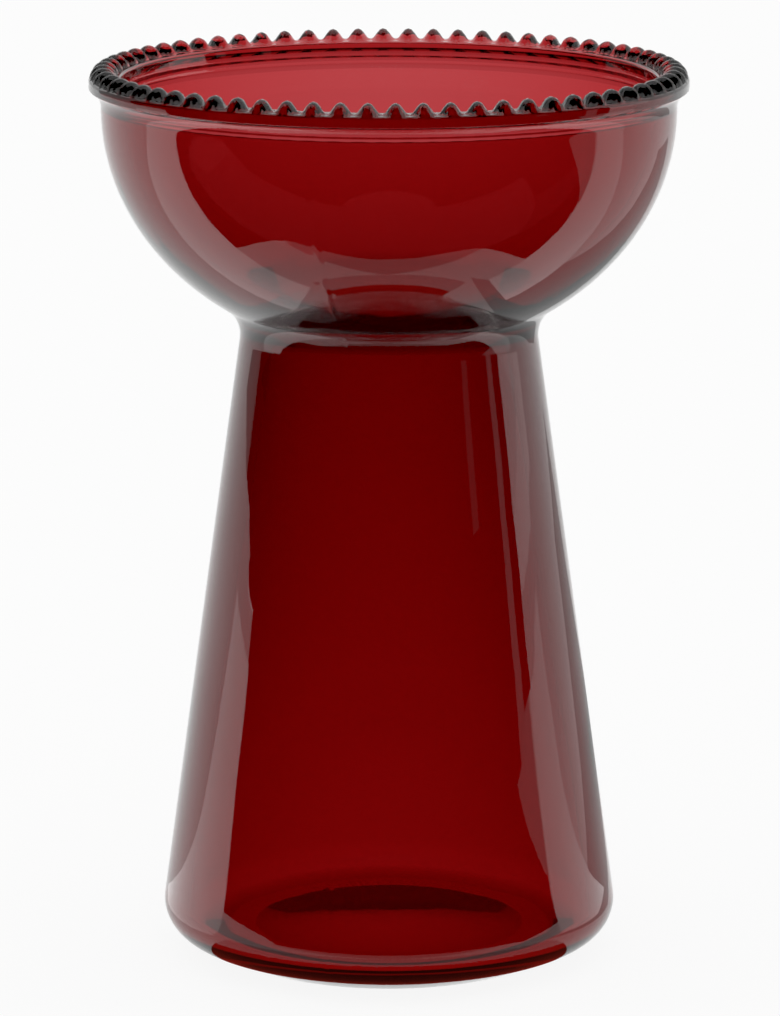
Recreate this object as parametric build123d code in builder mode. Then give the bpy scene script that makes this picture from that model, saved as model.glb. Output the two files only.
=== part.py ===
from build123d import *

import os
from math import acos, degrees, pi, sin, sqrt

# A hyacinth forcing vase of thick coloured glass, pressed in one piece: a rounded foot, a straight
# flared chamber for the water, a narrow neck, a deep round bowl that holds the bulb, and a broad
# lip with a row of pearls. The glass is divided at level planes into its moulded sections, which
# meet face to face. Millimetres, +Z up, origin at the middle of the foot on the table.

# Foot: the ring that touches the table, the shallow hollow inside it and the round heel outside it
foot_ring_inner_radius = 24.0
foot_ring_outer_radius = 29.5
foot_hollow_rise = 1.8
foot_ring_edge_radius = 3.0
heel_corner_radius = 41.0
heel_lift = 4.8
heel_rounding = 6.5
base_height = 14.0

# Water chamber: its floor above the table and its wall, measured level at the floor and the neck
floor_height = 5.6
floor_corner_rounding = 3.0
chamber_wall_at_floor = 4.4
chamber_wall_at_neck = 6.0

# Neck: the outer corner where the flare meets the bowl, and the section's reach below and above it
neck_corner_radius = 25.8
neck_outer_rounding = 6.0
throat_rounding = 5.0
neck_reach_below = 9.0
neck_reach_above = 8.0

# Bowl: half an ellipse, widest at bowl_top_height, with a wall that thins towards the lip
bowl_radius = 50.35
bowl_depth = 42.8
bowl_top_height = 151.5
bowl_wall_at_lip = 3.9
bowl_wall_at_bottom = 5.2

# Lip: a plain band above the bowl with a sloping underside
lip_joint_drop = 2.0
lip_cove_rise = 1.55
lip_cove_rounding = 2.4
lip_overhang = 2.1
lip_underside_rise = 2.25
lip_height = 5.65
lip_edge_rounding = 0.6
lip_inner_rounding = 0.6

# Pearls: bevelled discs that stand across the lip's flat top, the first one turned from +X. Their
# width is a share of the pitch, their radius and crest are shares of half the width, and their
# height over the lip is a share of their radius
pearl_count = 68
pearl_width_share = 0.93
pearl_radius_share = 1.045
pearl_crest_share = 0.24
pearl_rise_share = 0.87
pearl_setback = 0.2
pearl_first_angle = 1.26


def height_on_bowl(radius, bowl_reach, depth):
    """Height at which a bowl of this reach and depth has the given radius."""
    return bowl_top_height - depth * sqrt(1 - (radius / bowl_reach) ** 2)


def angle_below_widest(radius, bowl_reach):
    """How far round the bowl's ellipse, below its widest line, it has the given radius."""
    return degrees(acos(radius / bowl_reach))


neck_corner_height = height_on_bowl(neck_corner_radius, bowl_radius, bowl_depth)
neck_bottom_height = neck_corner_height - neck_reach_below
neck_top_height = neck_corner_height + neck_reach_above
lip_bottom_height = bowl_top_height - lip_joint_drop
lip_cove_height = bowl_top_height + lip_cove_rise
lip_underside_height = lip_cove_height + lip_underside_rise
lip_top_height = bowl_top_height + lip_height
lip_outer_radius = bowl_radius + lip_overhang

# The outer flare at floor height gives the inner corner, and the two walls' feet give the slope
floor_share = (floor_height - heel_lift) / (neck_corner_height - heel_lift)
flare_at_floor_radius = heel_corner_radius - (heel_corner_radius - neck_corner_radius) * floor_share
floor_corner_radius = flare_at_floor_radius - chamber_wall_at_floor
inner_flare_fall = floor_corner_radius - (neck_corner_radius - chamber_wall_at_neck)
inner_flare_rise = neck_corner_height - floor_height
bowl_inner_radius = bowl_radius - bowl_wall_at_lip
bowl_inner_depth = bowl_depth - bowl_wall_at_bottom

# Pearls stand at an even pitch, and the sections are drawn in a valley between two of them
pearl_pitch_angle = 360 / pearl_count
pearl_half_width = lip_outer_radius * sin(pi / pearl_count) * pearl_width_share
pearl_radius = pearl_half_width * pearl_radius_share
pearl_crest_half_width = pearl_half_width * pearl_crest_share
pearl_ring_radius = lip_outer_radius - pearl_setback - pearl_radius
pearl_height = lip_top_height - pearl_radius * (1 - pearl_rise_share)
section_plane = Plane.XZ.rotated((0, 0, pearl_first_angle - pearl_pitch_angle / 2))

# The section of the whole glass wall, from the axis under the foot round to the floor inside
with BuildSketch(Plane.XZ) as wall_section:
    with BuildLine():
        hollow = ThreePointArc(
            (0, foot_hollow_rise),
            (foot_ring_inner_radius / 2, foot_hollow_rise * 3 / 4),
            (foot_ring_inner_radius, 0),
        )
        Polyline(
            hollow @ 1,
            (foot_ring_outer_radius, 0),
            (heel_corner_radius, heel_lift),
            (neck_corner_radius, neck_corner_height),
        )
        EllipticalCenterArc(
            (0, bowl_top_height),
            bowl_radius,
            bowl_depth,
            start_angle=-angle_below_widest(neck_corner_radius, bowl_radius),
            arc_size=angle_below_widest(neck_corner_radius, bowl_radius),
        )
        Polyline(
            (bowl_radius, bowl_top_height),
            (bowl_radius, lip_cove_height),
            (lip_outer_radius, lip_underside_height),
            (lip_outer_radius, lip_top_height),
            (bowl_inner_radius, lip_top_height),
            (bowl_inner_radius, bowl_top_height),
        )
        inner_bowl = EllipticalCenterArc(
            (0, bowl_top_height),
            bowl_inner_radius,
            bowl_inner_depth,
            start_angle=-90,
            arc_size=90,
            mode=Mode.PRIVATE,
        )
        inner_flare = IntersectingLine(
            (floor_corner_radius, floor_height), (-inner_flare_fall, inner_flare_rise), inner_bowl
        )
        throat_corner = inner_flare @ 1
        EllipticalCenterArc(
            (0, bowl_top_height),
            bowl_inner_radius,
            bowl_inner_depth,
            start_angle=-angle_below_widest(throat_corner.X, bowl_inner_radius),
            arc_size=angle_below_widest(throat_corner.X, bowl_inner_radius),
        )
        Polyline((floor_corner_radius, floor_height), (0, floor_height), hollow @ 0)
    make_face()

    def corner(radius, height):
        """The vertex of the section at a radius and a height."""
        return wall_section.vertices().sort_by_distance((radius, height, 0))[0]

    fillet(corner(foot_ring_outer_radius, 0), foot_ring_edge_radius)
    fillet(corner(heel_corner_radius, heel_lift), heel_rounding)
    fillet(corner(neck_corner_radius, neck_corner_height), neck_outer_rounding)
    fillet(corner(throat_corner.X, throat_corner.Y), throat_rounding)
    fillet(corner(floor_corner_radius, floor_height), floor_corner_rounding)
    fillet(corner(bowl_radius, lip_cove_height), lip_cove_rounding)
    fillet(corner(lip_outer_radius, lip_underside_height), lip_edge_rounding)
    fillet(corner(bowl_inner_radius, lip_top_height), lip_inner_rounding)


def section_between(bottom, top):
    """Adds the wall's section between two heights to the sketch that is being drawn."""
    add(wall_section.sketch_local)
    with Locations((0, bottom)):
        Rectangle(
            lip_outer_radius, top - bottom, align=(Align.MIN, Align.MIN), mode=Mode.INTERSECT
        )


# Foot: contact ring, hollow underside, heel and floor
with BuildPart() as foot:
    with BuildSketch(section_plane):
        section_between(0, base_height)
    revolve(axis=Axis.Z)
foot.part.label = "foot"

# Water chamber: the straight flare
with BuildPart() as water_chamber:
    with BuildSketch(section_plane):
        section_between(base_height, neck_bottom_height)
    revolve(axis=Axis.Z)
water_chamber.part.label = "water_chamber"

# Neck: the crease outside and the rounded throat that the bulb sits on inside
with BuildPart() as neck:
    with BuildSketch(section_plane):
        section_between(neck_bottom_height, neck_top_height)
    revolve(axis=Axis.Z)
neck.part.label = "neck"

# Bulb bowl
with BuildPart() as bulb_bowl:
    with BuildSketch(section_plane):
        section_between(neck_top_height, lip_bottom_height)
    revolve(axis=Axis.Z)
bulb_bowl.part.label = "bulb_bowl"

# One pearl: half its section turned about an axis that lies along the lip
pearl_plane = Plane((pearl_ring_radius, 0, pearl_height), x_dir=(0, 1, 0), z_dir=(1, 0, 0))
with BuildPart() as pearl:
    with BuildSketch(pearl_plane):
        with BuildLine():
            Polyline(
                (-pearl_half_width, 0),
                (-pearl_crest_half_width, pearl_radius),
                (pearl_crest_half_width, pearl_radius),
                (pearl_half_width, 0),
                close=True,
            )
        make_face()
    revolve(axis=Axis(pearl_plane.origin, pearl_plane.x_dir))

# Beaded rim: the lip with its row of pearls
with BuildPart() as beaded_rim:
    with BuildSketch(section_plane):
        section_between(lip_bottom_height, lip_top_height)
    revolve(axis=Axis.Z)
    with PolarLocations(0, pearl_count, start_angle=pearl_first_angle):
        add(pearl.part)
beaded_rim.part.label = "beaded_rim"

os.makedirs("parts", exist_ok=True)
for piece in (foot, water_chamber, neck, bulb_bowl, beaded_rim):
    export_step(piece.part, f"parts/{piece.part.label}.step")
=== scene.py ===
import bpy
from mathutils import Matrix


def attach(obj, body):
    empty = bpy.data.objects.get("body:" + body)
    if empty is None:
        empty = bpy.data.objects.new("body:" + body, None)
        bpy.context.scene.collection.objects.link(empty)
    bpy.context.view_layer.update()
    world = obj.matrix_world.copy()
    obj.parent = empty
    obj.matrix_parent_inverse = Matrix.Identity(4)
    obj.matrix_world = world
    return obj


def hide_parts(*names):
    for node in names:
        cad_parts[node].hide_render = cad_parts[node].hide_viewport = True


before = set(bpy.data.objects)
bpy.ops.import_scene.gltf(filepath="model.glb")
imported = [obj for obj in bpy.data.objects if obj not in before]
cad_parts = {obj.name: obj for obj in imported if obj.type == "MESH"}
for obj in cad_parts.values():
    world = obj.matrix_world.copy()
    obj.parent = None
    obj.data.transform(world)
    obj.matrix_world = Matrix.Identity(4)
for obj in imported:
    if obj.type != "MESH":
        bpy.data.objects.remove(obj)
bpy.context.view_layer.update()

import logging
import math
from dataclasses import dataclass, field
from enum import Enum
from typing import Callable, Iterable, Union

import bpy
from mathutils import Vector

log = logging.getLogger("hyacinth_vase")

# Lengths are in metres and angles in degrees, unless a name says otherwise
MM = 0.001
GLASS_NODES = ("foot", "water_chamber", "neck", "bulb_bowl", "beaded_rim")
WHITE = (1.0, 1.0, 1.0, 1.0)
# The red of the painted caustic light on the table round the foot, seen in the heel
CAUSTIC_RED = (1.0, 0.08, 0.05, 1.0)
MERGE_DISTANCE = 0.002 * MM
HALVINGS = 40

Point = tuple[float, float]
Colour = tuple[float, float, float, float]
Operand = Union["Socket", float]


# Shader maths

class Socket:
    """A shader output that takes part in Python expressions."""

    def __init__(self, tree: "ShaderTree", output: bpy.types.NodeSocket | None) -> None:
        """Wraps an output of a node in a tree, or nothing for a node without outputs."""
        self.tree = tree
        self.output = output

    def _math(self, operation: str, *values: Operand) -> "Socket":
        """Adds a Math node on these values."""
        return self.tree.node("ShaderNodeMath", {"operation": operation}, dict(enumerate(values)))

    def __add__(self, other: Operand) -> "Socket":
        """Sum."""
        return self._math("ADD", self, other)

    def __radd__(self, other: Operand) -> "Socket":
        """Sum, reflected."""
        return self._math("ADD", other, self)

    def __mul__(self, other: Operand) -> "Socket":
        """Product."""
        return self._math("MULTIPLY", self, other)

    def __rmul__(self, other: Operand) -> "Socket":
        """Product, reflected."""
        return self._math("MULTIPLY", other, self)


class ShaderTree:
    """The node tree of a material or a world."""

    def __init__(self, owner: bpy.types.Material | bpy.types.World) -> None:
        """Empties the owner's tree.

        Args:
            owner: the material or world whose nodes are built.
        """
        owner.use_nodes = True
        self.nodes = owner.node_tree.nodes
        self.links = owner.node_tree.links
        self.nodes.clear()

    def node(
        self,
        kind: str,
        settings: dict[str, object] | None = None,
        values: dict[str | int, object] | None = None,
        output: str | int = 0,
    ) -> Socket:
        """Adds a node.

        Args:
            kind: the node's type.
            settings: its own settings, set before its sockets.
            values: a value or a Socket for each input, by name or number.
            output: the output that is returned.

        Returns:
            The chosen output as a Socket.
        """
        made = self.nodes.new(kind)
        for name, value in (settings or {}).items():
            setattr(made, name, value)
        for name, value in (values or {}).items():
            if isinstance(value, Socket):
                self.links.new(value.output, made.inputs[name])
            else:
                made.inputs[name].default_value = value
        return Socket(self, made.outputs[output] if made.outputs else None)


# Finishes

@dataclass(frozen=True)
class RubyGlass:
    """Clear red glass, coloured through, with the gentle waves of a moulded wall."""

    tint: Colour = (0.785, 0.09, 0.13, 1.0)
    absorption_per_metre: float = 800.0
    refraction: float = 1.52
    roughness: float = 0.0
    broad_wave: float = 0.032
    fine_wave: float = 0.0045
    wipe_wave: float = 0.006
    wipe_share: float = 0.08
    broad_height: float = 0.0003
    fine_height: float = 0.000006
    wipe_height: float = 0.00002

    def material(self) -> bpy.types.Material:
        """Builds the glass.

        Returns:
            A material with a refracting surface and an absorbing body.
        """
        made = bpy.data.materials.new("ruby_glass")
        tree = ShaderTree(made)
        place = tree.node("ShaderNodeTexCoord", output="Object")
        height = (
            self._ripple(tree, place, self.broad_wave) * self.broad_height
            + self._ripple(tree, place, self.fine_wave) * self.fine_height
            + self._ripple(tree, place, self.wipe_wave, self.wipe_share) * self.wipe_height
        )
        relief = tree.node("ShaderNodeBump", values={"Distance": 1.0, "Height": height})
        surface = tree.node(
            "ShaderNodeBsdfPrincipled",
            values={
                "Base Color": WHITE,
                "Roughness": self.roughness,
                "IOR": self.refraction,
                "Transmission Weight": 1.0,
                "Normal": relief,
            },
        )
        body = tree.node(
            "ShaderNodeVolumeAbsorption",
            values={"Color": self.tint, "Density": self.absorption_per_metre},
        )
        tree.node("ShaderNodeOutputMaterial", values={"Surface": surface, "Volume": body})
        return made

    @staticmethod
    def _ripple(tree: ShaderTree, place: Socket, width: float, along: float = 1.0) -> Socket:
        """Adds noise with waves of one width, drawn out along the axis where along is small.

        Args:
            tree: the material's nodes.
            place: the coordinates.
            width: the waves' width.
            along: the noise's scale along the axis, as a share.

        Returns:
            The noise, about 0.5 on average.
        """
        stretched = tree.node(
            "ShaderNodeMapping",
            values={"Vector": place, "Scale": (1 / width, 1 / width, along / width)},
        )
        return tree.node(
            "ShaderNodeTexNoise", values={"Vector": stretched, "Scale": 1.0, "Detail": 1.0}
        )


@dataclass(frozen=True)
class PaleFloor:
    """White tabletop that shows as plain white and keeps a faint shadow."""

    shade: float = 0.9
    shadow_share: float = 0.1

    def material(self) -> bpy.types.Material:
        """Builds the tabletop's white.

        Returns:
            A material that is plain white to the eye and lit for the rest.
        """
        made = bpy.data.materials.new("pale_floor")
        tree = ShaderTree(made)
        lit = tree.node("ShaderNodeBsdfDiffuse", values={"Color": (self.shade,) * 3 + (1.0,)})
        white = tree.node("ShaderNodeEmission", values={"Strength": 1.0})
        mixed = tree.node(
            "ShaderNodeMixShader",
            values={0: seen_directly(tree) * (1 - self.shadow_share), 1: lit, 2: white},
        )
        tree.node("ShaderNodeOutputMaterial", values={"Surface": mixed})
        return made


@dataclass(frozen=True)
class CardFace:
    """A card's even brightness, where 0 is black and 1 is the white of the room."""

    brightness: float = 0.0
    tint: Colour = WHITE

    def material(self) -> bpy.types.Material:
        """Builds the face.

        Returns:
            A material that gives off an even light.
        """
        made = bpy.data.materials.new("card_face")
        tree = ShaderTree(made)
        values = {"Color": self.tint, "Strength": self.brightness}
        glow = tree.node("ShaderNodeEmission", values=values)
        tree.node("ShaderNodeOutputMaterial", values={"Surface": glow})
        return made


def seen_directly(tree: ShaderTree) -> Socket:
    """1 for rays from the camera, off glossy surfaces or through glass, and 0 for the rest.

    Args:
        tree: the material's nodes.

    Returns:
        The mask.
    """
    rays = [
        tree.node("ShaderNodeLightPath", output=name)
        for name in ("Is Camera Ray", "Is Glossy Ray", "Is Transmission Ray")
    ]
    joined = rays[0] + rays[1] + rays[2]
    return tree.node("ShaderNodeClamp", values={"Value": joined})


# Modelling helpers

def arc(centre: Point, radii: Point, start: float, end: float, steps: int) -> list[Point]:
    """Points on an elliptic arc.

    Args:
        centre: its middle.
        radii: its half-widths.
        start: the first angle, in degrees.
        end: the last angle, in degrees.
        steps: the number of spans.

    Returns:
        The points, both ends included.
    """
    turns = [math.radians(start + (end - start) * i / steps) for i in range(steps + 1)]
    return [
        (centre[0] + radii[0] * math.cos(t), centre[1] + radii[1] * math.sin(t)) for t in turns
    ]


def sweep(centre: Vector, first: Vector, last: Vector, steps: int) -> list[Point]:
    """Points on a round arc, from one spoke to another.

    Args:
        centre: the arc's centre.
        first: the spoke to its first point.
        last: the spoke to its last point.
        steps: the number of spans.

    Returns:
        The points, both ends included.
    """
    opening = first.angle(last)
    shares = [i / steps for i in range(steps + 1)]
    spokes = [first * math.sin(opening * (1 - s)) + last * math.sin(opening * s) for s in shares]
    return [tuple(centre + spoke / math.sin(opening)) for spoke in spokes]


def straight(start: Point, end: Point, steps: int) -> list[Point]:
    """Evenly spaced points from start to end, both included."""
    spans = [i / steps for i in range(steps + 1)]
    return [(start[0] + (end[0] - start[0]) * s, start[1] + (end[1] - start[1]) * s) for s in spans]


def rounded(before: Point, corner: Point, after: Point, radius: float, steps: int) -> list[Point]:
    """The arc that rounds a corner between two straight lines.

    Args:
        before: a point on the line that arrives.
        corner: where the lines meet.
        after: a point on the line that leaves.
        radius: the arc's radius.
        steps: the number of spans.

    Returns:
        The arc's points, from the arriving line to the leaving one.
    """
    here = Vector(corner)
    arriving, leaving = (Vector(before) - here).normalized(), (Vector(after) - here).normalized()
    half = arriving.angle(leaving) / 2
    centre = here + (arriving + leaving).normalized() * (radius / math.sin(half))
    first = here + arriving * (radius / math.tan(half)) - centre
    last = here + leaving * (radius / math.tan(half)) - centre
    return sweep(centre, first, last, steps)


def start_modelling() -> None:
    """Leaves edit mode and deselects everything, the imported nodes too."""
    if bpy.context.object and bpy.context.object.mode != "OBJECT":
        bpy.ops.object.mode_set(mode="OBJECT")
    bpy.ops.object.select_all(action="DESELECT")


def draw_line(name: str, points: list[Vector]) -> bpy.types.Object:
    """Draws a line of edges by extruding one point from place to place.

    Args:
        name: the new object's name.
        points: the places, in order.

    Returns:
        The object, in edit mode.
    """
    start_modelling()
    bpy.ops.mesh.primitive_plane_add(size=MM, location=points[0])
    bpy.context.object.name = name
    bpy.ops.object.mode_set(mode="EDIT")
    bpy.ops.mesh.select_all(action="SELECT")
    bpy.ops.mesh.merge(type="CENTER")
    for here, there in zip(points, points[1:]):
        bpy.ops.mesh.extrude_region_move(TRANSFORM_OT_translate={"value": there - here})
    return bpy.context.object


def settle() -> None:
    """Leaves edit mode and puts the active piece's place into its mesh."""
    bpy.ops.object.mode_set(mode="OBJECT")
    bpy.ops.object.transform_apply(location=True, rotation=True, scale=True)


# The vase

@dataclass(frozen=True)
class Spans:
    """How many straight spans stand for each stretch of the vase's outline."""

    hollow: int = 5
    ring_edge: int = 4
    heel: int = 12
    outer_flare: int = 14
    crease: int = 12
    outer_bowl: int = 20
    cove: int = 10
    cove_edge: int = 3
    lip_side: int = 3
    lip_edge: int = 6
    lip_top: int = 20
    lip_inner_edge: int = 3
    inner_bowl: int = 18
    throat: int = 10
    inner_flare: int = 12
    floor_edge: int = 7
    floor: int = 5


SPANS = Spans()


@dataclass
class Ellipse:
    """Half of the bowl's section: an ellipse whose widest line is level."""

    reach: float
    depth: float
    widest_height: float

    def at(self, angle: float) -> Vector:
        """The point at an angle below the widest line, in degrees."""
        turn = math.radians(angle)
        return Vector((self.reach * math.cos(turn), self.widest_height - self.depth * math.sin(turn)))

    def outward(self, angle: float) -> Vector:
        """The direction square to the ellipse, away from the bowl's middle."""
        turn = math.radians(angle)
        return Vector((math.cos(turn) / self.reach, -math.sin(turn) / self.depth)).normalized()

    def angle_at(self, radius: float) -> float:
        """The angle below the widest line at which the ellipse has this radius."""
        return math.degrees(math.acos(radius / self.reach))

    def points(self, start: float, end: float, steps: int) -> list[Point]:
        """Points between two angles below the widest line, both included."""
        return [tuple(self.at(start + (end - start) * i / steps)) for i in range(steps + 1)]

    def crease(self, wall: tuple[Point, Point], radius: float, steps: int) -> tuple[float, list[Point]]:
        """Rounds the corner between a straight wall below and this ellipse above.

        Args:
            wall: the wall's lower and upper point.
            radius: the rounding's radius, its centre on the outer side of both.
            steps: the number of spans.

        Returns:
            The angle where the rounding leaves the ellipse, and its points from the wall up.
        """
        foot = Vector(wall[0])
        along = (Vector(wall[1]) - foot).normalized()
        square = Vector((along.y, -along.x))
        low, high = 0.0, self.angle_at(wall[1][0])
        for _ in range(HALVINGS):
            middle = (low + high) / 2
            centre = self.at(middle) + self.outward(middle) * radius
            if (centre - foot).dot(square) > radius:
                low = middle
            else:
                high = middle
        on_wall = centre - square * radius
        corner = foot + along * (on_wall - foot).dot(along)
        return middle, sweep(centre, corner - centre, self.at(middle) - centre, steps)


@dataclass
class Foot:
    """The part that stands on the table: hollow, contact ring, heel and floor."""

    ring_inner_radius: float = 24.0 * MM
    ring_outer_radius: float = 29.5 * MM
    hollow_rise: float = 1.8 * MM
    ring_edge_radius: float = 3.0 * MM
    heel_radius: float = 41.0 * MM
    heel_lift: float = 4.8 * MM
    heel_rounding: float = 6.5 * MM
    floor_height: float = 5.6 * MM
    floor_rounding: float = 3.0 * MM

    def underside(self) -> list[Point]:
        """From the axis under the foot out to the contact ring.

        Returns:
            The hollow's points.
        """
        curve = (self.ring_inner_radius**2 + self.hollow_rise**2) / (2 * self.hollow_rise)
        reach = math.degrees(math.asin(self.ring_inner_radius / curve))
        return arc((0.0, self.hollow_rise - curve), (curve, curve), 90.0, 90.0 - reach, SPANS.hollow)

    def heel(self, flare_top: Point) -> list[Point]:
        """From the contact ring round the heel to the flare.

        Args:
            flare_top: the point that the flare runs to.

        Returns:
            The points of the ring's outer edge and of the heel.
        """
        ring, edge = (self.ring_inner_radius, 0.0), (self.ring_outer_radius, 0.0)
        corner = (self.heel_radius, self.heel_lift)
        return rounded(ring, edge, corner, self.ring_edge_radius, SPANS.ring_edge) + rounded(
            edge, corner, flare_top, self.heel_rounding, SPANS.heel
        )

    def floor(self, wall_top: Point, corner: Point) -> list[Point]:
        """From the chamber's wall round onto the floor and in to the axis.

        Args:
            wall_top: a point up the chamber's wall.
            corner: where wall and floor would meet.

        Returns:
            The points, from the wall in.
        """
        middle = (0.0, self.floor_height)
        bend = rounded(wall_top, corner, middle, self.floor_rounding, SPANS.floor_edge)
        return bend + straight(bend[-1], middle, SPANS.floor)[1:]


@dataclass
class Bowl:
    """The round bowl, thinner at the lip than at the neck."""

    reach: float = 50.35 * MM
    depth: float = 42.8 * MM
    widest_height: float = 151.5 * MM
    wall_at_lip: float = 3.9 * MM
    wall_at_bottom: float = 5.2 * MM

    def outside(self) -> Ellipse:
        """The outer surface's section."""
        return Ellipse(self.reach, self.depth, self.widest_height)

    def inside(self) -> Ellipse:
        """The inner surface's section."""
        return Ellipse(
            self.reach - self.wall_at_lip, self.depth - self.wall_at_bottom, self.widest_height
        )


@dataclass
class Neck:
    """The crease outside and the throat inside."""

    corner_radius: float = 25.8 * MM
    crease_rounding: float = 6.0 * MM
    throat_rounding: float = 5.0 * MM


@dataclass
class Chamber:
    """The flared water chamber's wall, measured level at the foot and at the neck."""

    wall_at_floor: float = 4.4 * MM
    wall_at_neck: float = 6.0 * MM


@dataclass
class Lip:
    """The plain band round the top and its ring of pearls."""

    cove_rise: float = 0.5 * MM
    cove_turn: float = 65.0
    overhang: float = 2.1 * MM
    height: float = 5.65 * MM
    edge_rounding: float = 0.6 * MM
    cove_edge_rounding: float = 0.25 * MM
    inner_rounding: float = 0.6 * MM
    top_ring: float = 3.2 * MM
    low_ring: float = 1.8 * MM
    ring_half_width: float = 0.35 * MM
    ring_stand: float = 0.15 * MM
    ring_shares: tuple[float, ...] = (1.0, 0.5, 0.0, -0.5, -1.0)
    pearl_count: int = 68
    pearl_width_share: float = 0.93
    pearl_radius_share: float = 1.045
    pearl_crest_share: float = 0.24
    pearl_rise_share: float = 0.87
    pearl_setback: float = 0.2 * MM
    pearl_blend: float = 0.25 * MM
    first_pearl: float = 1.26

    def outline(self, bowl: Bowl) -> list[Point]:
        """From the bowl's widest line outside, over the lip, to its widest line inside.

        Args:
            bowl: the bowl that carries the lip.

        Returns:
            The lip's points, without its pearls.
        """
        base = bowl.widest_height
        outer, inner = bowl.reach + self.overhang, bowl.reach - bowl.wall_at_lip
        curve = self.overhang / (1 - math.cos(math.radians(self.cove_turn)))
        middle = (bowl.reach + curve, base + self.cove_rise)
        cove = arc(middle, (curve, curve), 180.0, 180.0 - self.cove_turn, SPANS.cove)
        corners = [
            cove[-2],
            cove[-1],
            (outer, base + self.height),
            (inner, base + self.height),
            (inner, base),
        ]
        roundings = (self.cove_edge_rounding, self.edge_rounding, self.inner_rounding)
        spans = (SPANS.cove_edge, SPANS.lip_edge, SPANS.lip_inner_edge)
        bends = [
            rounded(*corners[i : i + 3], roundings[i], spans[i]) for i in range(len(roundings))
        ]
        side = straight(bends[0][-1], bends[1][0], SPANS.lip_side)[1:-1]
        top = straight(bends[1][-1], bends[2][0], SPANS.lip_top)[1:-1]
        return cove[:-1] + bends[0] + side + bends[1] + top + bends[2] + self.rings(inner, base)

    def rings(self, inner: float, base: float) -> list[Point]:
        """Two fine raised rings on the wall just inside the lip.

        Args:
            inner: the wall's radius there.
            base: the height of the bowl's widest line.

        Returns:
            The wall's points, from the top ring down.
        """
        points = []
        for rise in (self.top_ring, self.low_ring):
            for share in self.ring_shares:
                stand = self.ring_stand * (1 - share**2) ** 2
                points.append((inner - stand, base + rise + share * self.ring_half_width))
        return points

    def pearl(self, bowl: Bowl) -> "Pearl":
        """The shape and place that all pearls share.

        Args:
            bowl: the bowl that carries the lip.

        Returns:
            The pearl.
        """
        outer = bowl.reach + self.overhang
        half_width = outer * math.sin(math.pi / self.pearl_count) * self.pearl_width_share
        radius = half_width * self.pearl_radius_share
        height = bowl.widest_height + self.height - radius * (1 - self.pearl_rise_share)
        return Pearl(
            Vector((outer - self.pearl_setback - radius, height)),
            half_width,
            half_width * self.pearl_crest_share,
            radius,
        )

    def pearl_swell(self, place: Vector, pearl: "Pearl") -> float:
        """How far a pearl rises over the lip at a place on its flat top.

        Args:
            place: the point on the plain lip.
            pearl: the shape of a pearl.

        Returns:
            The height, eased to nothing between pearls.
        """
        pitch = 2 * math.pi / self.pearl_count
        turn = math.atan2(place.y, place.x) - math.radians(self.first_pearl)
        aside = abs(turn / pitch - round(turn / pitch)) * pitch * pearl.centre.x
        across = abs(math.hypot(place.x, place.y) - pearl.centre.x)
        reach = pearl.reach_at(aside)
        if across >= reach:
            return 0.0
        swell = math.sqrt(reach**2 - across**2) + pearl.centre.y - place.z
        if swell >= self.pearl_blend:
            return swell
        if swell <= -self.pearl_blend:
            return 0.0
        return (swell + self.pearl_blend) ** 2 / (4 * self.pearl_blend)


@dataclass(frozen=True)
class Pearl:
    """A disc with a bevel on both sides, laid across the lip, its crest worn round."""

    centre: Vector
    half_width: float
    crest_half_width: float
    radius: float

    def reach_at(self, aside: float) -> float:
        """The disc's radius at a distance from its middle plane.

        Args:
            aside: the distance along the lip.

        Returns:
            The radius, nothing past the disc's edge.
        """
        slope = self.radius / (self.half_width - self.crest_half_width)
        bevel = (self.half_width - aside) * slope
        edge = 2 * self.crest_half_width
        if aside >= edge:
            return max(0.0, bevel)
        return (self.half_width - edge) * slope + (edge**2 - aside**2) * slope / (2 * edge)


@dataclass
class Seams:
    """Two fine raised lines where the halves of the mould met."""

    front_angle: float = -105.4
    rise: float = 0.06 * MM
    half_width: float = 0.45 * MM
    skin_depth: float = 1.0 * MM

    def swell(self, place: Vector) -> float:
        """How far a seam stands out at a place on the outer wall, from 0 to 1.

        Args:
            place: a point on the wall.

        Returns:
            The share of the seam's rise.
        """
        turn = math.atan2(place.y, place.x) - math.radians(self.front_angle)
        aside = abs(math.sin(turn)) * math.hypot(place.x, place.y)
        return max(0.0, 1 - (aside / self.half_width) ** 2)


class Direction(Enum):
    """The ways that skin can rise, as the Displace modifier names them."""

    UP = "Z"
    OUT = "NORMAL"


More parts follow.
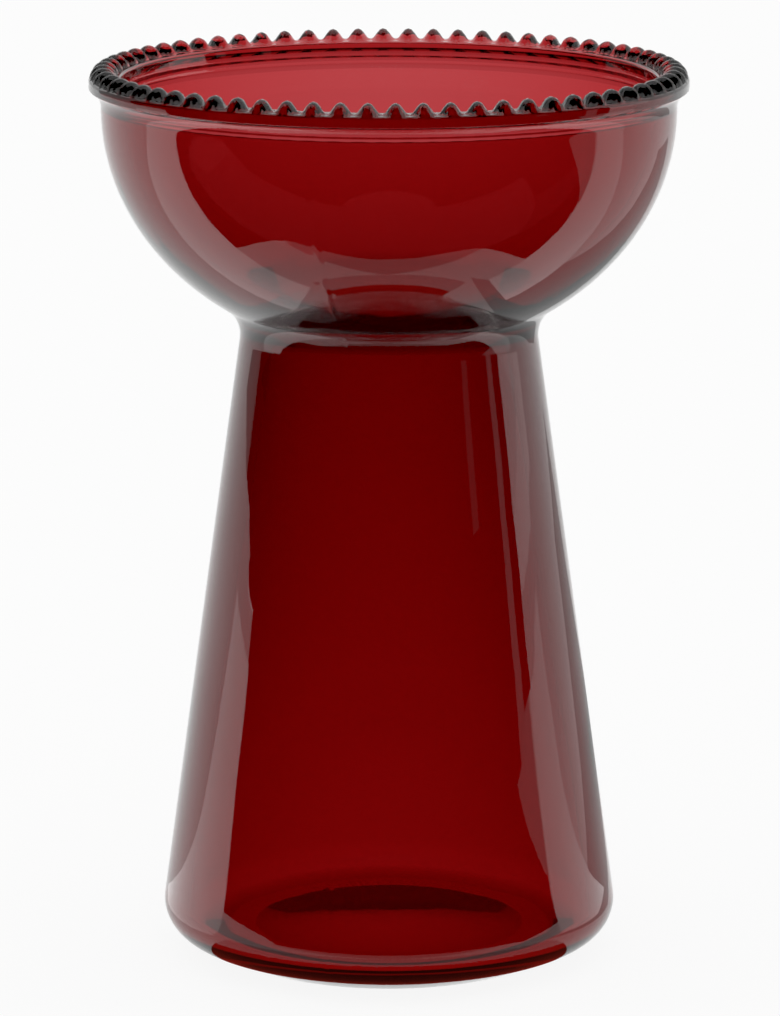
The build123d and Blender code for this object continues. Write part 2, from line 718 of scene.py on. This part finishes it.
@dataclass
class Vase:
    """The whole glass wall as one closed surface."""

    foot: Foot = field(default_factory=Foot)
    chamber: Chamber = field(default_factory=Chamber)
    neck: Neck = field(default_factory=Neck)
    bowl: Bowl = field(default_factory=Bowl)
    lip: Lip = field(default_factory=Lip)
    seams: Seams = field(default_factory=Seams)
    columns_per_pearl: int = 8

    def outline(self) -> list[Point]:
        """The wall's section, from the axis under the foot to the floor inside.

        Returns:
            Its points, as radius and height.
        """
        outside, inside = self.bowl.outside(), self.bowl.inside()
        corner_angle = outside.angle_at(self.neck.corner_radius)
        corner = tuple(outside.at(corner_angle))
        heel_corner = (self.foot.heel_radius, self.foot.heel_lift)
        heel = self.foot.heel(corner)
        leave, crease = outside.crease(
            (heel_corner, corner), self.neck.crease_rounding, SPANS.crease
        )
        floor_share = (self.foot.floor_height - heel_corner[1]) / (corner[1] - heel_corner[1])
        flare_at_floor = heel_corner[0] - (heel_corner[0] - corner[0]) * floor_share
        floor_corner = (flare_at_floor - self.chamber.wall_at_floor, self.foot.floor_height)
        throat_top = (corner[0] - self.chamber.wall_at_neck, corner[1])
        enter, throat = inside.crease(
            (floor_corner, throat_top), self.neck.throat_rounding, SPANS.throat
        )
        floor = self.foot.floor(throat_top, floor_corner)
        return (
            self.foot.underside()
            + heel
            + straight(heel[-1], crease[0], SPANS.outer_flare)[1:-1]
            + crease
            + outside.points(leave, 0.0, SPANS.outer_bowl)[1:]
            + self.lip.outline(self.bowl)
            + inside.points(0.0, enter, SPANS.inner_bowl)
            + throat[::-1][1:]
            + straight(throat[0], floor[0], SPANS.inner_flare)[1:-1]
            + floor
        )

    def build(self) -> bpy.types.Object:
        """Turns the outline round the axis, raises pearls and seams, and closes the poles.

        Returns:
            The finished piece.
        """
        turn = math.radians(self.lip.first_pearl)
        points = [Vector((r * math.cos(turn), r * math.sin(turn), z)) for r, z in self.outline()]
        piece = draw_line("vase_glass", points)
        bpy.ops.mesh.select_all(action="SELECT")
        bpy.ops.mesh.spin(
            steps=self.lip.pearl_count * self.columns_per_pearl,
            angle=2 * math.pi,
            use_auto_merge=True,
            center=(0.0, 0.0, 0.0),
            axis=(0.0, 0.0, 1.0),
        )
        bpy.ops.mesh.select_all(action="SELECT")
        bpy.ops.mesh.remove_doubles(threshold=MERGE_DISTANCE)
        bpy.ops.mesh.normals_make_consistent(inside=False)
        settle()
        bpy.ops.object.shade_smooth()
        self.raise_pearls(piece)
        self.raise_seams(piece)
        return piece

    def raise_pearls(self, piece: bpy.types.Object) -> None:
        """Raises the lip's flat top into its pearls.

        Args:
            piece: the turned wall.
        """
        pearl = self.lip.pearl(self.bowl)
        rise = pearl.radius * self.lip.pearl_rise_share
        lowest = pearl.centre.y

        def share(place: Vector) -> float:
            """The pearls' rise at a place, as a share of the greatest."""
            return self.lip.pearl_swell(place, pearl) / rise if place.z > lowest else 0.0

        self.swell(piece, "pearls", share, rise, Direction.UP)

    def raise_seams(self, piece: bpy.types.Object) -> None:
        """Raises the two mould seams on the outer wall, from the heel to the lip.

        Args:
            piece: the turned wall.
        """
        lowest = self.foot.heel_lift
        highest = self.bowl.widest_height

        def share(place: Vector) -> float:
            """The seam's rise at a place, as a share of the greatest.

            Args:
                place: a point of the mesh.

            Returns:
                The share, nothing on the inner wall.
            """
            outer = self.outer_radius(place.z) if lowest < place.z < highest else math.inf
            if math.hypot(place.x, place.y) < outer - self.seams.skin_depth:
                return 0.0
            return self.seams.swell(place)

        self.swell(piece, "seams", share, self.seams.rise, Direction.OUT)

    def outer_radius(self, height: float) -> float:
        """The outer wall's radius at a height, without its roundings.

        Args:
            height: the height over the table.

        Returns:
            The radius.
        """
        drop = (self.bowl.widest_height - height) / self.bowl.depth
        bowl = self.bowl.reach * math.sqrt(max(0.0, 1 - drop**2))
        outside = self.bowl.outside()
        corner = outside.at(outside.angle_at(self.neck.corner_radius))
        slope = (self.foot.heel_radius - corner.x) / (corner.y - self.foot.heel_lift)
        flare = self.foot.heel_radius - slope * (height - self.foot.heel_lift)
        return bowl if height > corner.y else flare

    @staticmethod
    def swell(
        piece: bpy.types.Object,
        name: str,
        share: Callable[[Vector], float],
        rise: float,
        direction: Direction,
    ) -> None:
        """Moves a piece's skin where share says so.

        Args:
            piece: the mesh object.
            name: the name of the vertex group that holds the shares.
            share: gives each place's share of the rise, from 0 to 1.
            rise: the greatest distance.
            direction: the way it moves.
        """
        group = piece.vertex_groups.new(name=name)
        for vertex in piece.data.vertices:
            weight = share(vertex.co)
            if weight > 0:
                group.add([vertex.index], weight, "REPLACE")
        swelling = piece.modifiers.new(name, "DISPLACE")
        swelling.vertex_group = name
        swelling.direction = direction.value
        swelling.mid_level = 0.0
        swelling.strength = rise
        bpy.ops.object.modifier_apply(modifier=name)
        piece.vertex_groups.clear()

    def dress(self, piece: bpy.types.Object, glass: RubyGlass) -> None:
        """Gives the vase its glass and its place in the frame.

        Args:
            piece: the finished wall.
            glass: its finish.
        """
        piece.data.materials.clear()
        piece.data.materials.append(glass.material())
        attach(piece, "root")
        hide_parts(*GLASS_NODES)


# The studio

class Visibility(Enum):
    """Which rays meet a thing in the studio."""

    ALL = ("camera", "diffuse", "glossy", "transmission", "shadow")
    REFLECTIONS = ("glossy",)
    LIGHT = ("diffuse", "glossy")

    def apply(self, thing: bpy.types.Object) -> None:
        """Sets the rays that meet an object."""
        for ray in Visibility.ALL.value:
            setattr(thing, f"visible_{ray}", ray in self.value)


@dataclass
class SoftBox:
    """A rectangular studio light that faces the vase."""

    name: str
    azimuth: float
    width: float
    radiance: float
    height: float = 1.4
    elevation: float = 8.0
    distance: float = 1.6

    def build(self, aim: Vector) -> None:
        """Hangs the light.

        Args:
            aim: the point that it faces.
        """
        start_modelling()
        side, up = math.radians(self.azimuth), math.radians(self.elevation)
        away = Vector((math.sin(side) * math.cos(up), math.cos(side) * math.cos(up), math.sin(up)))
        bpy.ops.object.light_add(type="AREA", location=aim + away * self.distance)
        lamp = bpy.context.object
        lamp.name = self.name
        lamp.data.shape = "RECTANGLE"
        lamp.data.size = self.width
        lamp.data.size_y = self.height
        lamp.data.energy = self.radiance * math.pi * self.width * self.height
        lamp.rotation_mode = "QUATERNION"
        lamp.rotation_quaternion = away.to_track_quat("Z", "Y")
        Visibility.LIGHT.apply(lamp)


@dataclass
class CurvedCard:
    """Upright card bent clockwise round the vase, with a roof if roof_reach is set."""

    name: str
    first_edge: float
    last_edge: float
    brightness: float = 0.0
    base: float = 0.0
    radius: float = 1.0
    height: float = 1.1
    roof_reach: float = 0.0
    spans: int = 48

    def build(self) -> bpy.types.Object:
        """Spins the card's section from its first edge clockwise to its last.

        Returns:
            The card.
        """
        start = math.radians(90.0 - self.first_edge)
        out = Vector((math.cos(start), math.sin(start), 0.0))
        foot = Vector((0.0, 0.0, self.base))
        top = Vector((0.0, 0.0, self.height))
        section = [out * self.radius + foot, out * self.radius + top]
        if self.roof_reach:
            section.append(out * (self.radius - self.roof_reach) + top)
        piece = draw_line(self.name, section)
        bpy.ops.mesh.select_all(action="SELECT")
        bpy.ops.mesh.spin(
            steps=self.spans,
            angle=math.radians((self.last_edge - self.first_edge) % 360.0),
            center=(0.0, 0.0, 0.0),
            axis=(0.0, 0.0, 1.0),
        )
        settle()
        hang(piece, CardFace(self.brightness))
        return piece


class Layer(Enum):
    """Heights over the table at which cards lie, so that none lies in another."""

    LOW = 0.2 * MM
    BOARD = 0.3 * MM
    SHADE = 0.4 * MM
    SHEET = 0.5 * MM
    WEDGE = 0.6 * MM


@dataclass
class FlatCard:
    """Card that lies on the table, seen in reflections alone."""

    name: str
    corners: list[Point]
    brightness: float
    layer: Layer
    tint: Colour = WHITE

    def build(self) -> bpy.types.Object:
        """Draws the card's edge and fills it.

        Returns:
            The card.
        """
        lift = self.layer.value
        piece = draw_line(self.name, [Vector((x, y, lift)) for x, y in self.corners])
        bpy.ops.mesh.select_all(action="SELECT")
        bpy.ops.mesh.edge_face_add()
        settle()
        hang(piece, CardFace(self.brightness, self.tint))
        return piece


@dataclass
class BlackSheet:
    """Sheet in front of the vase, its near edge bowed away round the foot."""

    side_gap: float = 20.0 * MM
    front_gap: float = 89.0 * MM
    bow_middle: float = -12.0 * MM
    bow_half_width: float = 122.0 * MM
    bow_power: float = 8.0
    bow_spans: int = 24
    half_width: float = 1.0
    depth: float = 1.3
    left_rise: float = 45.0 * MM
    right_fall: float = 20.0 * MM

    def bow(self) -> list[Point]:
        """The bowed stretch of the near edge, from left to right.

        Returns:
            Its points on the table.
        """
        shares = [2 * i / self.bow_spans - 1 for i in range(self.bow_spans + 1)]
        sag = self.front_gap - self.side_gap
        return [
            (
                self.bow_middle + self.bow_half_width * share,
                -self.side_gap - sag * (1 - abs(share) ** self.bow_power),
            )
            for share in shares
        ]

    def card(self) -> FlatCard:
        """The sheet itself.

        Returns:
            The card.
        """
        left = (-self.half_width, self.left_rise - self.side_gap)
        right = (self.half_width, -self.right_fall - self.side_gap)
        far = [(self.half_width, -self.depth), (-self.half_width, -self.depth)]
        return FlatCard("black_sheet", [left, *self.bow(), right, *far], 0.0, Layer.SHEET)


@dataclass
class Boards:
    """Bright boards on the table at both sides of the vase, wider farther out: painted light, glowing
    brighter than the white room where the glass reflects the brightly lit table.
    """

    front_edge: float = -20.0 * MM
    inner_back_edge: float = 40.0 * MM
    far: float = 1.0
    left_inner: float = 55.0 * MM
    left_far_back_edge: float = 360.0 * MM
    left_brightness: float = 1.6
    right_inner: float = 72.0 * MM
    right_far_back_edge: float = 250.0 * MM
    right_brightness: float = 1.4

    def cards(self) -> list[FlatCard]:
        """The left board and the right one.

        Returns:
            Both cards.
        """
        left = [
            (-self.far, self.left_far_back_edge),
            (-self.left_inner, self.inner_back_edge),
            (-self.left_inner, self.front_edge),
            (-self.far, self.front_edge),
        ]
        right = [
            (self.right_inner, self.inner_back_edge),
            (self.far, self.right_far_back_edge),
            (self.far, self.front_edge),
            (self.right_inner, self.front_edge),
        ]
        # Both cards glow brighter than the white room: painted light
        return [
            FlatCard("left_painted_light", left, self.left_brightness, Layer.BOARD),
            FlatCard("right_painted_light", right, self.right_brightness, Layer.BOARD),
        ]


@dataclass
class Shades:
    """Dim stretches of the table, seen in reflections alone: two bands of painted shadow that the vase
    casts, a wedge, and two part rings round the foot of painted shade, the inner one red with painted
    caustic light.
    """

    front_start: float = 63.0 * MM
    front_bow: float = 16.0 * MM
    front_end: float = 109.0 * MM
    front_half_width: float = 100.0 * MM
    front_brightness: float = 0.45
    back_start: Point = (60.0 * MM, 205.0 * MM)
    back_end: Point = (450.0 * MM, 700.0 * MM)
    back_depth: float = 240.0 * MM
    back_brightness: float = 0.5
    wedge_start: Point = (250.0 * MM, -20.0 * MM)
    wedge_end: Point = (1.0, -40.0 * MM)
    wedge_depth: float = 250.0 * MM
    wedge_brightness: float = 0.4
    ring_radii: tuple[float, float, float] = (32.0 * MM, 47.0 * MM, 63.0 * MM)
    ring_half_angle: float = 62.0
    ring_spans: int = 24
    # Brightness of the rings: painted shade, the inner ring's red also painted caustic light
    shade_and_caustic_brightness: float = 0.3
    ring_shade_brightness: float = 0.55

    def front(self) -> FlatCard:
        """The band in front of the vase, its near edge pointed: the vase's painted shadow, cast towards
        the camera.

        Returns:
            The card.
        """
        side = self.front_half_width
        corners = [
            (-side, -self.front_start - self.front_bow),
            (0.0, -self.front_start),
            (side, -self.front_start - self.front_bow),
            (side, -self.front_end),
            (-side, -self.front_end),
        ]
        return FlatCard("front_shade", corners, self.front_brightness, Layer.SHADE)

    def back(self) -> FlatCard:
        """The slanting band behind the vase, on its right: the vase's painted shadow.

        Returns:
            The card.
        """
        edge = [self.back_start, self.back_end]
        corners = edge + [(x, y - self.back_depth) for x, y in edge[::-1]]
        return FlatCard("shadow", corners, self.back_brightness, Layer.LOW)

    def wedge(self) -> FlatCard:
        """The wedge along the black sheet's right arm.

        Returns:
            The card.
        """
        point, (far, side) = self.wedge_start, self.wedge_end
        corners = [point, (far, side), (far, side - self.wedge_depth)]
        return FlatCard("right_grey", corners, self.wedge_brightness, Layer.WEDGE)

    def part_ring(self, inner: float, outer: float) -> list[Point]:
        """The edge of a part ring in front of the foot, between two radii.

        Args:
            inner: the smaller radius.
            outer: the larger radius.

        Returns:
            The edge's points.
        """
        first, last = 270.0 - self.ring_half_angle, 270.0 + self.ring_half_angle
        far = arc((0.0, 0.0), (outer, outer), first, last, self.ring_spans)
        return far + arc((0.0, 0.0), (inner, inner), last, first, self.ring_spans)

    def rings(self) -> list[FlatCard]:
        """The grey part ring of painted shade, and inside it the red one of painted contact shade and
        painted caustic light that shows in the heel.

        Returns:
            Both cards.
        """
        inner, middle, outer = self.ring_radii
        # light is the edge of the grey ring of painted shade, glow that of the red ring of painted
        # shade and caustic light
        light, glow = self.part_ring(middle, outer), self.part_ring(inner, middle)
        return [
            FlatCard("front_ring_shade", light, self.ring_shade_brightness, Layer.LOW),
            FlatCard("heel_shade_and_caustic", glow, self.shade_and_caustic_brightness, Layer.LOW, CAUSTIC_RED),
        ]


def hang(piece: bpy.types.Object, face: CardFace) -> None:
    """Gives a studio card its face and shows it to reflections alone.

    Args:
        piece: the card's mesh.
        face: its finish.
    """
    piece.data.materials.append(face.material())
    Visibility.REFLECTIONS.apply(piece)


@dataclass
class Camera:
    """The photograph's viewpoint."""

    distance: float = 960.0 * MM
    height: float = 285.2 * MM
    aside: float = 0.16 * MM
    pitch: float = 12.07
    focal_pixels: float = 5531.0
    long_side_pixels: float = 1016.0
    sensor_millimetres: float = 36.0
    nearest: float = 10.0 * MM
    farthest: float = 50.0

    def build(self) -> None:
        """Sets the camera up as the scene's own."""
        start_modelling()
        bpy.ops.object.camera_add(
            location=(self.aside, -self.distance, self.height),
            rotation=(math.radians(90.0 - self.pitch), 0.0, 0.0),
        )
        camera = bpy.context.object
        camera.name = "camera"
        camera.data.sensor_width = self.sensor_millimetres
        camera.data.lens = self.sensor_millimetres * self.focal_pixels / self.long_side_pixels
        camera.data.clip_start = self.nearest
        camera.data.clip_end = self.farthest
        bpy.context.scene.camera = camera


@dataclass
class Studio:
    """Table, backdrop and lights."""

    floor_reach: float = 4.0
    floor_sides: int = 64
    aim: Vector = field(default_factory=lambda: Vector((0.0, 0.0, 0.08)))
    boxes: Iterable[SoftBox] = (
        SoftBox("left_box", azimuth=-79.0, width=0.5, radiance=0.9),
        SoftBox("right_box", azimuth=78.0, width=0.7, radiance=0.5),
    )
    walls: Iterable[CurvedCard] = (
        CurvedCard("black_surround", first_edge=90.0, last_edge=-88.0, roof_reach=0.75),
        CurvedCard("left_flag", first_edge=-88.0, last_edge=-66.0, base=29.0 * MM),
        CurvedCard(
            "left_grey", first_edge=-67.0, last_edge=-38.0, brightness=0.35, base=30.0 * MM
        ),
        CurvedCard(
            "near_strip",
            first_edge=96.5,
            last_edge=101.5,
            brightness=0.35,
            radius=0.98,
            height=0.3,
        ),
        CurvedCard(
            "far_strip",
            first_edge=119.5,
            last_edge=124.5,
            brightness=0.13,
            base=0.1,
            radius=0.98,
            height=0.4,
        ),
    )

    def build(self) -> list[bpy.types.Object]:
        """Builds everything round the vase.

        Returns:
            The tabletop and the cards.
        """
        self.backdrop()
        pieces = [self.table()]
        pieces += [card.build() for card in (*self.walls, *self.flat_cards())]
        for box in self.boxes:
            box.build(self.aim)
        bpy.context.scene.view_settings.view_transform = "Standard"
        return pieces

    def flat_cards(self) -> list[FlatCard]:
        """What lies on the table round the vase and shows in its wall.

        Returns:
            The cards, in the order that they are built.
        """
        shades = Shades()
        boards = Boards().cards()
        sheets = [BlackSheet().card(), shades.wedge(), shades.front()]
        return [*sheets, *boards, shades.back(), *shades.rings()]

    def backdrop(self) -> None:
        """Surrounds the scene with plain white."""
        world = bpy.data.worlds.new("backdrop")
        bpy.context.scene.world = world
        tree = ShaderTree(world)
        white = tree.node("ShaderNodeBackground", values={"Strength": 1.0})
        tree.node("ShaderNodeOutputWorld", values={"Surface": white})

    def table(self) -> bpy.types.Object:
        """Lays the pale tabletop.

        Returns:
            The tabletop.
        """
        start_modelling()
        bpy.ops.mesh.primitive_circle_add(
            vertices=self.floor_sides,
            radius=self.floor_reach,
            fill_type="NGON",
            location=(0.0, 0.0, 0.0),
        )
        top = bpy.context.object
        top.name = "tabletop"
        settle()
        top.data.materials.append(PaleFloor().material())
        return top


def main() -> None:
    """Builds the vase and the studio round it, and reports each piece."""
    logging.basicConfig(level=logging.INFO, format="%(name)s: %(message)s")
    vase = Vase()
    glass = vase.build()
    vase.dress(glass, RubyGlass())
    log.info("%s stands for %s", glass.name, ", ".join(GLASS_NODES))
    for piece in (glass, *Studio().build()):
        log.info("%s: %d faces", piece.name, len(piece.data.polygons))
    Camera().build()


if __name__ == "__main__":
    main()
